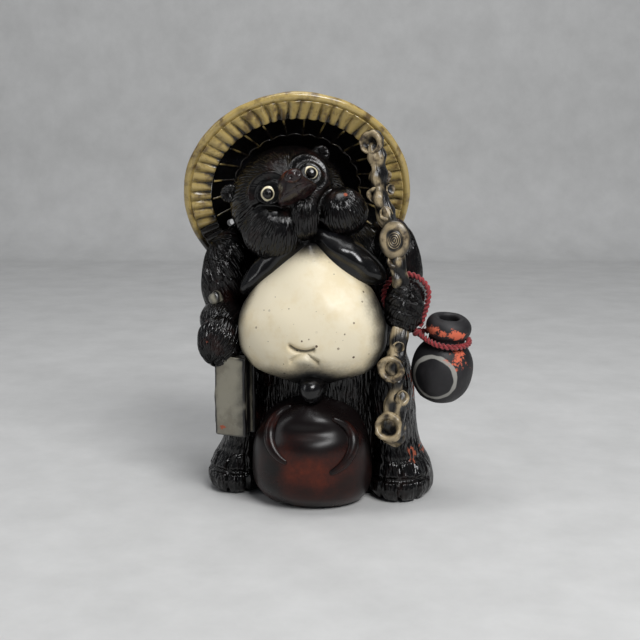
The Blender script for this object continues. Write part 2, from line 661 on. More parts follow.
def flask_slip():
    """Dry black slip on the flask, flaking to coral clay, with a plain painted ring."""
    c = bpy.context.scene.statue_colours
    return finish_of("dry_black_slip", lambda name: stoneware(
        name, c.slip, c.slip_grey, stain_mm=10.0, rough=(0.5, 0.66), grain_mm=0.9, grain=0.3, coat=0.0,
        chip=c.coral, shade=c.ring, shade_soft=(0.35, 0.65)))


def bare_clay():
    """Unglazed fired clay of the floor."""
    c = bpy.context.scene.statue_colours
    return finish_of("bare_fired_clay", lambda name: stoneware(
        name, c.clay, c.book_dark, stain_mm=10.0, rough=(0.7, 0.85), grain=0.4, coat=0.0))


def cotton_cord():
    """Twisted red cotton: matt, darker between the fibres, which run along each strand."""
    c = bpy.context.scene.statue_colours

    def make(name):
        material, tree = bare_material(name)
        way = node(tree, "Attribute", attribute_name="hair").outputs["Vector"]
        fibre = node(tree, "TexNoise", {"Vector": way, "Scale": 5.0, "Detail": 3.0}).outputs["Fac"]
        share = node(tree, "MapRange", {"Value": fibre, "From Min": 0.35, "From Max": 0.65}).outputs[0]
        paint = node(tree, "Mix", {SHARE: share, COLOUR_A: c.cord_dark, COLOUR_B: c.cord},
                     data_type="RGBA").outputs[MIXED]
        bump = node(tree, "Bump", {"Height": fibre, "Strength": 0.5, "Distance": 0.3 * MM}).outputs[0]
        surface = node(tree, "BsdfPrincipled", {
            "Base Color": paint, "Roughness": 0.85, "Normal": bump, "Sheen Weight": 0.3,
            "Sheen Roughness": 0.5})
        node(tree, "OutputMaterial", {"Surface": surface.outputs[0]})
        return material

    return finish_of("twisted_red_cotton", make)


def paint_of(code, words):
    """Colour that a user can change, from an sRGB hex value."""
    return bpy.props.FloatVectorProperty(
        name=words, description=words, subtype="COLOR", size=4, min=0.0, max=1.0, default=linear(code))


class StatueColours(bpy.types.PropertyGroup):
    """Colours of the glazes, of the clay under them and of the cord"""
    black: paint_of("#080707", "Black glaze")
    blue_black: paint_of("#0e0e12", "Thick black glaze")
    brown: paint_of("#27130f", "Black glaze where it is thin")
    ridge: paint_of("#171110", "Glaze on the ridges of the hair")
    cream: paint_of("#e3d8bd", "Belly glaze")
    cream_deep: paint_of("#dccdab", "Belly glaze where it pools")
    speck: paint_of("#54402c", "Iron specks in the belly glaze")
    gold: paint_of("#b29b5f", "Gold wash of the hat")
    gold_dark: paint_of("#6b5733", "Gold wash where it is thin")
    gold_deep: paint_of("#1a1510", "Dark wash between the ribs")
    red: paint_of("#6a2813", "Red iron glaze")
    red_dark: paint_of("#471d12", "Red iron glaze where it is thick")
    bag_dark: paint_of("#120d0d", "Dark spray on the bag")
    snout: paint_of("#1b1010", "Snout glaze")
    snout_red: paint_of("#2c1513", "Snout glaze where it is thin")
    branch: paint_of("#a39273", "Pale wash of the staff")
    branch_dark: paint_of("#3b2f21", "Staff under the wash")
    book: paint_of("#827e70", "Book glaze")
    book_dark: paint_of("#6d685b", "Book glaze where it is thin")
    eye: paint_of("#eadfbe", "Eye glaze")
    slip: paint_of("#131114", "Black slip of the flask")
    slip_grey: paint_of("#1f1c1f", "Slip where it is rubbed")
    ring: paint_of("#92908a", "Painted ring on the flask")
    clay: paint_of("#944b33", "Bare clay")
    coral: paint_of("#d2674a", "Bare clay of the flask")
    cord: paint_of("#a83236", "Cord")
    cord_dark: paint_of("#611a1e", "Cord between its fibres")


class StatueSizes(bpy.types.PropertyGroup):
    """Sizes of the marks that the potter's tools leave"""
    hair_pitch: bpy.props.FloatProperty(
        name="Hair", default=1.7, min=0.4, max=6.0,
        description="Width of one combed hair in mm, drawn twice as coarse as it is so that it shows")
    comb_depth: bpy.props.FloatProperty(
        name="Comb depth", description="Depth of the grooves between tufts in mm", default=0.9, min=0.0,
        max=3.0)
    hat_ribs: bpy.props.IntProperty(
        name="Ribs", description="Ribs round the gold band of the hat", default=58, min=12, max=120)
    crown_ribs: bpy.props.IntProperty(
        name="Inner ribs", description="Thin ribs inside the hat", default=26, min=6, max=60)
    cord_lay: bpy.props.FloatProperty(
        name="Lay", description="Length in mm of one turn of the cord's two strands", default=7.0, min=3.0,
        max=30.0)


def hat_frame():
    """Directions of the hat: out of its mouth and down its face."""
    pitch, roll = math.radians(HAT_PITCH), math.radians(HAT_ROLL)
    mouth = np.array((math.sin(pitch) * math.sin(roll), -math.cos(pitch), -math.sin(pitch) * math.cos(roll)))
    side = unit(np.cross((0, 0, 1), mouth))
    return mouth, np.cross(side, mouth)


def crown_depth(radius, wall=0.0):
    """Depth of the crown's round dish behind the mouth of the hat."""
    sphere = (BRIM_INNER ** 2 + CROWN_DEPTH ** 2) / (2 * CROWN_DEPTH)
    return BRIM_DISH + CROWN_DEPTH - sphere + np.sqrt((sphere + wall) ** 2 - np.asarray(radius, float) ** 2)


def middle_of(name):
    """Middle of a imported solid's box in mm."""
    low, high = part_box(name)
    return (np.array(low) + np.array(high)) / 2 / MM


def face_frame():
    """Directions of the face: gaze, along the line from the right eye to the left one, and up."""
    gaze = unit(GAZE)
    eyes = middle_of("left_eye") - middle_of("right_eye")
    along = unit(eyes - gaze * (eyes @ gaze))
    return gaze, along, np.cross(gaze, along)


class STATUE_OT_hat(bpy.types.Operator):
    """Gold band with its ribs, rolled rim, and thin ribs inside the crown"""
    bl_idname = "statue.hat"
    bl_label = "Hat"

    def band(self, ribs, mouth, low):
        """Gold band: a turned ring pressed into half waves, broad on the crest and sharp in the hollow."""
        edge = RIM_RADIUS - RIM_BEAD * 0.7
        t = np.linspace(0, 1, 22)
        front = np.stack([BRIM_INNER + (edge - BRIM_INNER) * t, 1.2 - 1.6 * t], -1)
        back = np.stack([np.linspace(edge, BRIM_INNER, 6),
                         np.linspace(BRIM_THICK, crown_depth(BRIM_INNER, CROWN_WALL), 6)], -1)
        band = turned(np.concatenate([front, back]), HAT_AT, -mouth, ribs * 12, loop=True, start=low)
        wave = np.abs(np.sin(ribs * band.turn / 2 + 0.5 * ripple(band.points, 40.0, 5))) ** 0.6
        # The ribs are let down at both edges of the front, and the back of the band has none.
        plain = np.zeros(len(back))
        reach = np.concatenate([np.sin(math.pi * (0.12 + 0.8 * t)) ** 0.5, plain])[:, None]
        uneven = 0.9 + 0.25 * ripple(band.points, 30.0, 6)
        band.points = band.points - mouth * (RIB_DEPTH * reach * uneven * (1 - wave))[..., None]
        inner = np.concatenate([soft_step(t, 0.55, 0.0), plain])[:, None]
        hollow = reach * (1 - wave) ** 0.8 * (0.55 + 0.6 * inner) + 0.3 * inner ** 3
        low_side = soft_step(band.points[..., 2], 214.0, 190.0)
        band.shade = np.clip(hollow + 0.12 * ripple(band.points, 20.0, 8) + low_side, 0, 1)
        return band

    def rim(self, mouth, low):
        """Rolled rim: a circle carried round the hat, a little uneven."""
        angle = np.linspace(0, TAU, 20, endpoint=False)
        bead = RIM_BEAD - 0.2
        profile = np.stack([RIM_RADIUS + bead * np.cos(angle), BRIM_THICK / 2 + bead * np.sin(angle)], -1)
        rim = turned(profile, HAT_AT, -mouth, 360, loop=True, start=low)
        swell(rim, -0.25 + 0.25 * ripple(rim.points, 26.0, 11))
        low_side = soft_step(rim.points[..., 2], 206.0, 180.0)
        rim.shade = np.clip(0.3 * ripple(rim.points, 18.0, 12) + low_side, 0, 1)
        return rim

    def inner_ribs(self, count, mouth, low):
        """Thin ribs on the crown's dish: spokes, and a shallow bow from the start of each to the next."""
        beside = np.cross(-mouth, low)
        turns = TAU * (np.arange(count) + 0.3) / count
        radius = np.linspace(SPOKE_START, BRIM_INNER - 1.0, 7)
        ribs = []
        for turn in turns:
            spoke = math.cos(turn) * low + math.sin(turn) * beside
            path = HAT_AT + radius[:, None] * spoke - mouth * (crown_depth(radius) + SPOKE_OUT)[:, None]
            ribs.append(limb(path, np.full(7, 0.9), 8, 24, np.cross(mouth, spoke)))
        share = np.linspace(0, 1, 7)
        reach = SPOKE_START + 2.0 * np.sin(math.pi * share)
        for turn in turns:
            bow = (turn + TAU / count * share)[:, None]
            ring = np.cos(bow) * low + np.sin(bow) * beside
            path = HAT_AT + reach[:, None] * ring - mouth * (crown_depth(reach) + SPOKE_OUT)[:, None]
            ribs.append(limb(path, np.full(7, 0.8), 8, 20, mouth))
        for rib in ribs:
            deep = soft_step(away_from(rib, HAT_AT), 70.0, 50.0)
            rib.shade = np.clip(deep * 0.5 + 0.45 + 0.25 * ripple(rib.points, 16.0, 13), 0, 1)
        return ribs

    def execute(self, context):
        sizes = context.scene.statue_sizes
        mouth, low = hat_frame()
        band = self.band(sizes.hat_ribs, mouth, low)
        skin("hat_brim", [band], gold_wash(), ["hat_brim"])
        skin("hat_rim", [self.rim(mouth, low)], gold_wash(), ["hat_rim"])
        ribs = self.inner_ribs(sizes.crown_ribs, mouth, low)
        skin("hat_crown_ribs", ribs, gold_wash())
        dress(smooth_black_glaze(), "hat_crown")
        return {"FINISHED"}


class STATUE_OT_head(bpy.types.Operator):
    """Head with its brows and eye sockets, snout, nose, throat, cheeks and ears"""
    bl_idname = "statue.head"
    bl_label = "Head"

    def skull(self, depth):
        """Head: an egg combed from the gaze outwards, with lids, brows and the creases of the cheeks."""
        gaze, along, up = face_frame()
        head = egg(HEAD_AT, HEAD_RADII, HEAD_ROLL, gaze, 420, 190)
        smooth = np.zeros_like(head.shade)
        for name, lean in (("right_eye", -0.2), ("left_eye", 0.2)):
            offset = head.points - middle_of(name)
            over, beside = offset @ up, offset @ along
            away = np.sqrt(over ** 2 + beside ** 2)
            front = soft_step(offset @ gaze, -14.0, -2.0)
            smooth = np.maximum(smooth, front * soft_step(away, 20.0, 14.0))
            arch = np.clip((over + lean * beside) / np.maximum(away, 1e-6), 0, 1) ** 0.6
            # A rolled lid round the eye, a hollow outside it, and a brow arched over both.
            lid = hump(away - 8.4, 1.3) - 1.2 * hump(away - 11.2, 2.0)
            swell(head, front * (lid + 2.2 * hump(away - 14.5, 2.4) * arch))
        for middle, radii in (RIGHT_CHEEK, LEFT_CHEEK):
            out = (np.linalg.norm((head.points - np.array(middle)) / np.array(radii), axis=-1) - 1) * 20.0
            swell(head, -3.4 * hump(out - 1.4, 2.6))
        return comb(head, 0.7 * depth, 2.6, 21, 1 - 0.85 * smooth)

    def snout(self):
        """Snout: an egg drawn out along the gaze, thin above and flaring below to the two ends of the lip."""
        gaze, along, up = face_frame()
        root = HEAD_AT + GAZE - gaze * 21.0
        snout = egg(root, (12.5, 11.5, 12.0), 0.0, gaze, 140, 100)
        local = snout.points - root
        reach, beside, over = local @ gaze, local @ along, local @ up
        wide = beside * (0.84 + 0.72 * soft_step(-over, -1.0, 9.0))
        drop = 0.05 * np.abs(beside) * soft_step(-over, 0.0, 8.0)
        snout.points = (root + (reach * (1.72 - 0.012 * np.abs(wide)))[..., None] * gaze
                        + wide[..., None] * along + (over * 0.95 - 2.0 - drop)[..., None] * up)
        local = snout.points - root
        beside, over = local @ along, local @ up
        front = soft_step(local @ gaze, 8.0, 16.0)
        # A line parts the lip from the snout, and a shallow groove runs from the nose down to it.
        line = hump(over + 8.0 - 0.012 * beside ** 2, 0.9)
        groove = hump(beside, 1.0) * soft_step(-over, 3.0, 6.0)
        swell(snout, front * (-0.9 * line - 0.8 * groove) + 0.25 * ripple(snout.points, 7.0, 31))
        bridge = hump(over - 7.0, 4.0)
        snout.shade = np.clip(0.12 + 0.22 * ripple(snout.points, 10.0, 32) + 0.4 * bridge, 0, 1)
        return snout

    def nose(self):
        """Nose: a small egg on the tip of the snout with two nostrils pressed in."""
        gaze, along, up = face_frame()
        tip = HEAD_AT + GAZE
        nose = egg(tip, (6.6, 5.0, 5.0), HEAD_ROLL, gaze, 80, 60)
        for sign in (-1, 1):
            away = away_from(nose, tip + gaze * 4.2 + along * (2.9 * sign) - up * 1.2)
            swell(nose, -1.9 * hump(away, 1.5))
            nose.shade = np.maximum(nose.shade, hump(away, 1.7))
        nose.shade = np.clip(0.35 + 0.2 * ripple(nose.points, 5.0, 33) - nose.shade, 0, 1)
        return nose

    def ear(self, name, depth):
        """Ear: an egg sunk in the head, whose cup is pressed in behind a rounded edge."""
        facing = unit((0.0, -1.0, 0.15))
        middle = middle_of(name)
        middle = middle + 2.0 * unit(HEAD_AT - middle)
        ear = egg(middle, (7.4, 5.0, 7.0), HEAD_ROLL, facing, 160, 60)
        front = soft_step(-(ear.points[..., 1] - middle[1]), 0.0, 3.0)
        cup = 3.2 * front * hump(off_axis(ear, middle, facing), 5.0)
        ear.points = ear.points + np.array((0, 1.0, 0)) * cup[..., None]
        return comb(ear, 0.5 * depth, 2.2, 71)

    def execute(self, context):
        depth = context.scene.statue_sizes.comb_depth
        skin("head", [self.skull(depth)], black_glaze(), ["head"])
        skin("muzzle", [self.snout()], brown_glaze(), ["muzzle"])
        skin("nose", [self.nose()], brown_glaze(), ["nose"])
        jaw = egg((-4.0, -44.0, 213.0), (10.5, 13.0, 17.5), 0.0, (0.0, -0.25, 1.0), 260, 110)
        comb(jaw, 0.9 * depth, 1.9, 41)
        skin("jaw", [jaw], black_glaze(), ["jaw"])
        # The hair of each cheek starts some way from its crown, and each has a worn patch.
        right = egg(*RIGHT_CHEEK, 0.0, (0.3, -0.45, 0.85), 400, 130)
        comb(right, 0.9 * depth, 2.2, 51, soft_step(right.along, 8.0, 20.0))
        right.wear = 0.18 * hump(away_from(right, (-34.0, -54.0, 190.0)), 12.0)
        skin("right_cheek", [right], black_glaze(), ["right_cheek"])
        left = egg(*LEFT_CHEEK, 0.0, (-0.2, -0.5, 0.85), 340, 120)
        comb(left, 0.9 * depth, 2.2, 61, soft_step(left.along, 6.0, 15.0))
        left.wear = 0.62 * hump(away_from(left, (25.0, -40.0, 230.0)), 3.4)
        skin("left_cheek", [left], black_glaze(), ["left_cheek"])
        for name in ("right_ear", "left_ear"):
            skin(name, [self.ear(name, depth)], black_glaze(), [name])
        return {"FINISHED"}


class STATUE_OT_eyes(bpy.types.Operator):
    """Cream eyes and black pupils"""
    bl_idname = "statue.eyes"
    bl_label = "Eyes"

    def execute(self, context):
        for side in ("right", "left"):
            middle = middle_of(f"{side}_eye")
            to_pupil = middle_of(f"{side}_pupil") - middle
            way = unit(unit(to_pupil) + unit(VIEWER - middle))
            eye = egg(middle, (EYE_RADIUS,) * 3, 0.0, way, 96, 60)
            away = off_axis(eye, middle, way)
            swell(eye, -0.35 * hump(away - 4.9, 0.5) + 0.1 * ripple(eye.points, 5.0, 81))
            eye.shade = 0.75 * hump(away - 6.5, 0.7) * soft_step((eye.points - middle) @ way, -2.0, 3.0)
            skin(f"{side}_eye", [eye], eye_glaze(), [f"{side}_eye"])
            place = middle + way * np.linalg.norm(to_pupil)
            pupil = egg(place, (PUPIL_RADIUS,) * 3, 0.0, way, 64, 40)
            away = off_axis(pupil, place, way)
            swell(pupil, -0.3 * hump(away - 2.2, 0.35) - 0.35 * hump(away, 1.2))
            skin(f"{side}_pupil", [pupil], smooth_black_glaze(), [f"{side}_pupil"])
        return {"FINISHED"}


class STATUE_OT_collars(bpy.types.Operator):
    """Smooth lappets on the chest, drawn to a crisp lower edge"""
    bl_idname = "statue.collars"
    bl_label = "Chest lappets"

    def execute(self, context):
        for name, side, middle, long, slope in (("left_collar", 1, (26.5, -34.0, 184.0), 32.0, 33.0),
                                                ("right_collar", -1, (-27.0, -34.0, 178.5), 36.0, -42.0)):
            lappet = egg(middle, (long, 15.0, 12.5), slope, (0, -1, 0), 160, 90)
            local = (lappet.points - np.array(middle)) @ about_y(slope)
            # Below its middle the lappet is pinched flat towards the edge and rolls out a little along it.
            over = local[..., 2]
            fall = soft_step(-over, 0.0, 11.0)
            front = soft_step(-local[..., 1], 2.0, 10.0)
            roll = 1.6 * hump(over + 8.8, 2.2) - 1.3 * hump(over + 4.0, 3.0)
            uneven = 0.5 * ripple(lappet.points, 16.0, 91 + side) * (1 - fall)
            swell(lappet, front * (roll + uneven))
            skin(name, [lappet], smooth_black_glaze(), [name])
        return {"FINISHED"}


def leg_rows(side):
    """Rows of a leg with its foot; side is 1 for the left leg and -1 for the right one."""
    return [(share * LEG_HEIGHT, side * (LEG_X - lean * LEG_LEAN), wide * LEG_HALF_WIDTH,
             LEG_BACK - deep * LEG_DEPTH, LEG_BACK)
            for share, lean, wide, deep in LEG_SHAPE]


class STATUE_OT_body(bpy.types.Operator):
    """Two combed halves of the hollow body, the tail and the floor slab"""
    bl_idname = "statue.body"
    bl_label = "Body"

    def execute(self, context):
        depth = context.scene.statue_sizes.comb_depth
        for name, half in (("torso_front", -1), ("torso_back", 1)):
            shell = stack(BODY_ROWS, 260, 150, half=half)
            comb(shell, 0.9 * depth, 3.6, 101 + half)
            skin(name, [shell], black_glaze(), [name])
        tail = limb(TAIL_PATH, TAIL_RADII, 110, 90, (1, 0, 0))
        # The tail's end is flat where it stands on the ground.
        tail.points[..., 2] = np.maximum(tail.points[..., 2], 0.05)
        comb(tail, 0.9 * depth, 3.2, 111)
        skin("tail", [tail], black_glaze(), ["tail"])
        dress(bare_clay(), "base_slab")
        return {"FINISHED"}


class STATUE_OT_belly(bpy.types.Operator):
    """Cream belly with its pressed navel and sprayed edge"""
    bl_idname = "statue.belly"
    bl_label = "Belly"

    def execute(self, context):
        belly = stack(BELLY_ROWS, 300, 220, rounding=1.0)
        x, y, z = np.moveaxis(belly.points, -1, 0)
        front = soft_step(-y, 45.0, 60.0)
        # The navel: distances from three creases, the upper one sagging like a smile over two short folds.
        across, over = x - 0.5, z - 121.5
        past = 40.0
        smile = np.abs(over - (0.036 * across ** 2 - 1.5)) + past * soft_step(np.abs(across + 1.5), 9.0, 15.0)
        left_fold = (np.abs(over + 1.5 - 0.72 * across) * 0.8
                     + past * soft_step(np.abs(across + 6.0), 4.5, 7.5))
        right_fold = (np.abs(over + 1.5 + 0.78 * across) * 0.8
                      + past * soft_step(np.abs(across - 6.0), 4.5, 7.5))
        folds = np.maximum(hump(left_fold, 1.5) * 0.75, hump(right_fold, 1.6))
        crease = np.maximum(hump(smile, 2.1) * 1.3, folds)
        # A lip is pushed up below them.
        lip = hump(across, 7.0) * hump(over + 8.0, 3.4) - 0.5 * hump(across, 9.0) * hump(over + 1.0, 3.0)
        swell(belly, front * (1.2 * lip - 3.0 * crease) + 0.35 * ripple(belly.points, 34.0, 121))
        # The black spray: how near a place is, seen from the front, to the belly's own outline.
        half = through([row[0] for row in BELLY_ROWS], [row[2] for row in BELLY_ROWS], z[:, 0])[:, None]
        bottom = 95.0 + 7.0 * hump(x - 5.0, 13.0)
        side = half - np.abs(x) + 9.0 * soft_step(z, 150.0, 176.0)
        top = BELLY_LOW + BELLY_HEIGHT
        inside = np.minimum(np.minimum(side, (z - bottom) * 0.62), (top - z) * 0.8)
        inside = inside + 0.5 * ripple(belly.points, 13.0, 123)
        spray = np.maximum(1 - soft_step(inside, -3.0, 15.0), soft_step(y, -26.0, -18.0))
        belly.shade = np.maximum(spray, 0.7 * front * np.maximum(hump(smile, 1.4), 0.5 * crease))
        skin("belly", [belly], cream_glaze(), ["belly"])
        return {"FINISHED"}


class STATUE_OT_bag(bpy.types.Operator):
    """Red-brown money bag with its two raised ridges and the knob above it"""
    bl_idname = "statue.bag"
    bl_label = "Money bag"

    def sack(self):
        """Bag: level rings, with a swelling between the ridges under a hollow below the knob."""
        bag = stack(BAG_ROWS, 240, 160, rounding=4.0)
        x, y, z = np.moveaxis(bag.points, -1, 0)
        front = soft_step(-y, 40.0, 60.0)
        bulge = 1.8 * hump(x - 4.0, 20.0) * hump(z - 47.0, 10.0)
        hollow = 3.2 * hump(x - 3.0, 20.0) * hump(z - 62.0, 6.0) + hump(x - 3.0, 8.0) * hump(z - 72.0, 6.0)
        swell(bag, front * (bulge - hollow))
        # The dark spray leaves a red glow below the swelling and a little red at the foot.
        glow = 0.72 * hump(x - 6.0, 21.0) * hump(z - 35.0, 12.0) + 0.1 * soft_step(z, 34.0, 10.0)
        cloudy = 0.1 * ripple(bag.points, 22.0, 131)
        bag.shade = np.clip(0.93 - glow + cloudy + soft_step(z, 58.0, 76.0), 0, 1)
        return bag

    def ridge(self, side):
        """Ridge: a tapered roll on an arc of an ellipse, laid on the front of the bag."""
        angle = np.radians(RIDGE_ARC * np.linspace(-0.5, 0.5, 9))
        x = RIDGES_X + side * RIDGE_WIDE * np.cos(angle)
        z = RIDGES_Z - side * RIDGE_SHIFT + RIDGE_HIGH * np.sin(angle)
        table = np.array(BAG_ROWS).T
        half = through(table[0], table[2], z)
        front = through(table[0], table[3], z)
        y = front / 2 + front / 2 * np.sqrt(1 - (x / half) ** 2)
        ridge = limb(np.stack([x, y, z], -1), RIDGE_RADIUS * np.cos(RIDGE_TAPER * angle), 40, 110)
        ridge.shade = np.clip(0.9 + 0.1 * ripple(ridge.points, 14.0, 141 + side), 0, 1)
        return ridge

    def knob(self):
        """Knob: an egg that narrows downwards and whose crown is a little flat."""
        knob = egg(KNOB_AT, KNOB_RADII, 0.0, (0, 0, 1), 110, 80)
        local = knob.points - KNOB_AT
        over = local[..., 2]
        knob.points[..., 0] = KNOB_AT[0] + local[..., 0] * (1.0 + 0.012 * over)
        knob.points[..., 2] = KNOB_AT[2] + over * (1 - 0.004 * np.abs(over))
        return knob

    def execute(self, context):
        skin("money_bag", [self.sack()], red_glaze(), ["money_bag"])
        for name, side in (("bag_ridge_left", 1), ("bag_ridge_right", -1)):
            skin(name, [self.ridge(side)], red_glaze(), [name])
        skin("bag_knob", [self.knob()], smooth_black_glaze(), ["bag_knob"])
        return {"FINISHED"}


class STATUE_OT_feet(bpy.types.Operator):
    """Combed legs with two rows of toes"""
    bl_idname = "statue.feet"
    bl_label = "Legs and feet"

    def execute(self, context):
        depth = context.scene.statue_sizes.comb_depth
        for name, side in (("left_foot", 1), ("right_foot", -1)):
            leg = stack(leg_rows(side), 240, 170, rounding=3.5)
            x, y, z = np.moveaxis(leg.points, -1, 0)
            angle = np.degrees(np.arctan2(x - side * LEG_X, -(y - 4.0)))
            front = soft_step(-y, 8.0, 22.0)
            low = soft_step(z, 36.0, 27.0)
            # Toes: grooves fanned round the foot, and cross grooves that part toes from knuckles and leg.
            fan = (angle - 4.0 * side) / 21.0
            part = np.abs(np.sin(math.pi * fan))
            level = 17.0 + 1.5 * np.cos(fan)
            rows = np.minimum(np.abs(z - level) / 2.0, np.abs(z - level - 14.0) / 2.4)
            toe = soft_step(part, 0.0, 0.42) * soft_step(rows, 0.0, 1.3)
            swell(leg, -0.4 + front * low * (2.6 * toe - 2.4))
            comb(leg, 0.9 * depth, 3.2, 151 + side)
            # The outer side of the left leg is scuffed at the calf and the ankle.
            outer = soft_step(side * (x - x.mean(1, keepdims=True)), 8.0, 15.0) * (side > 0)
            scuffed = outer * (hump(z - 84.0, 20.0) + hump(z - 36.0, 9.0))
            ragged = (soft_step(ripple(leg.points, 18.0, 161), -1.0, 0.3)
                      * soft_step(ripple(leg.points, 5.0, 163), -0.5, 0.6))
            leg.wear = 0.78 * scuffed * ragged
            skin(name, [leg], black_glaze(), [name])
        return {"FINISHED"}


class STATUE_OT_arms(bpy.types.Operator):
    """Combed arms, the hand that holds the book and the fist that holds the staff"""
    bl_idname = "statue.arms"
    bl_label = "Arms and hands"

    def locks(self, depth):
        """Locks of hair on the front of the right arm: eggs sunk in its skin, along the way it is combed."""
        lean = about_y(RIGHT_ARM_LEAN)
        fall = np.array((0.55, 0.0, -0.83))
        locks = []
        for k, (x, z) in enumerate(LOCKS):
            flat = ((np.array((x, 0.0, z)) - RIGHT_ARM_AT) @ lean) / RIGHT_ARM_RADII
            skin_y = -RIGHT_ARM_RADII[1] * math.sqrt(max(1 - flat[0] ** 2 - flat[2] ** 2, 0.02))
            place = np.array((x, skin_y, z))
            normal = unit(((place - RIGHT_ARM_AT) @ lean / RIGHT_ARM_RADII ** 2) @ lean.T)
            along = unit(fall - normal * (fall @ normal))
            across = unit(np.cross((0, 0, 1), along))
            lock = egg((0, 0, 0), LOCK_RADII, 0.0, (0, 0, 1), 60, 50)
            comb(lock, 0.7 * depth, 2.0, 173 + k)
            ways = np.stack([across, np.cross(along, across), along])
            lock.points = place - LOCK_SUNK * normal + lock.points @ ways
            locks.append(lock)
        return locks

    def right_hand(self, depth):
        """Right hand: an egg with finger grooves under its front, combed, and worn at three places."""
        hand = egg((-69.0, -43.0, 120.0), (17.0, 16.0, 20.0), 0.0, (0.3, 0.8, 0.9), 170, 110)
        x, y, z = np.moveaxis(hand.points, -1, 0)
        fingers = np.abs(np.sin((x + 0.25 * z) * math.pi / 9.0))
        under = soft_step(z, 118.0, 106.0) * soft_step(-y, 36.0, 46.0)
        swell(hand, -1.4 * under * (1 - soft_step(fingers, 0.0, 0.4)))
        comb(hand, 1.1 * depth, 3.0, 181)
        worn = ((-75.0, -57.0, 122.0), (-84.0, -47.0, 128.0), (-79.0, -47.0, 137.0))
        hand.wear = sum(0.52 * hump(away_from(hand, place), 4.0) for place in worn)
        return hand

    def fist(self, depth):
        """Left fist: an egg with the grooves of fingers rolled round the staff, under curls of hair."""
        fist = egg((67.0, -35.6, 147.0), (14.8, 13.8, 19.3), 0.0, (0.4, -0.6, 0.7), 170, 110)
        x, y, z = np.moveaxis(fist.points, -1, 0)
        curl = ripple(fist.points, 9.0, 201) + 0.6 * ripple(fist.points, 5.0, 202)
        rolls = np.abs(np.sin((z + 0.35 * x) * math.pi / 9.5))
        inner = soft_step(-y, 36.0, 44.0)
        swell(fist, 0.5 * curl - 0.4 - 0.9 * inner * (1 - soft_step(rolls, 0.0, 0.7)))
        return comb(fist, 0.9 * depth, 3.0, 203)

    def execute(self, context):
        depth = context.scene.statue_sizes.comb_depth
        upper = egg(RIGHT_ARM_AT, RIGHT_ARM_RADII, RIGHT_ARM_LEAN, (-0.75, -0.35, 0.8), 240, 150)
        fore = egg((-71.0, -20.0, 133.0), (18.0, 28.0, 17.0), 0.0, (0.2, 1.0, 0.4), 150, 90)
        comb(upper, 1.1 * depth, 2.8, 171)
        comb(fore, 1.0 * depth, 2.8, 172)
        skin("right_arm", [upper, fore, *self.locks(depth)], black_glaze(), ["right_arm"])
        skin("right_hand", [self.right_hand(depth)], black_glaze(), ["right_hand"])
        upper = egg((57.0, 9.0, 172.0), (19.0, 21.0, 38.0), -8.0, (0.6, -0.3, 0.9), 220, 130)
        comb(upper, 1.1 * depth, 2.8, 191)
        path = [(WRIST[0], y, WRIST[2]) for y in (16.0, 2.0, -12.0, -30.0)]
        wrist = limb(path, [WRIST_RADIUS] * 4, 110, 70, (0, 0, 1))
        comb(wrist, 0.5 * depth, 3.2, 192)
        skin("left_arm", [upper, wrist], black_glaze(), ["left_arm"])
        skin("left_hand", [self.fist(depth)], black_glaze(), ["left_hand"])
        return {"FINISHED"}


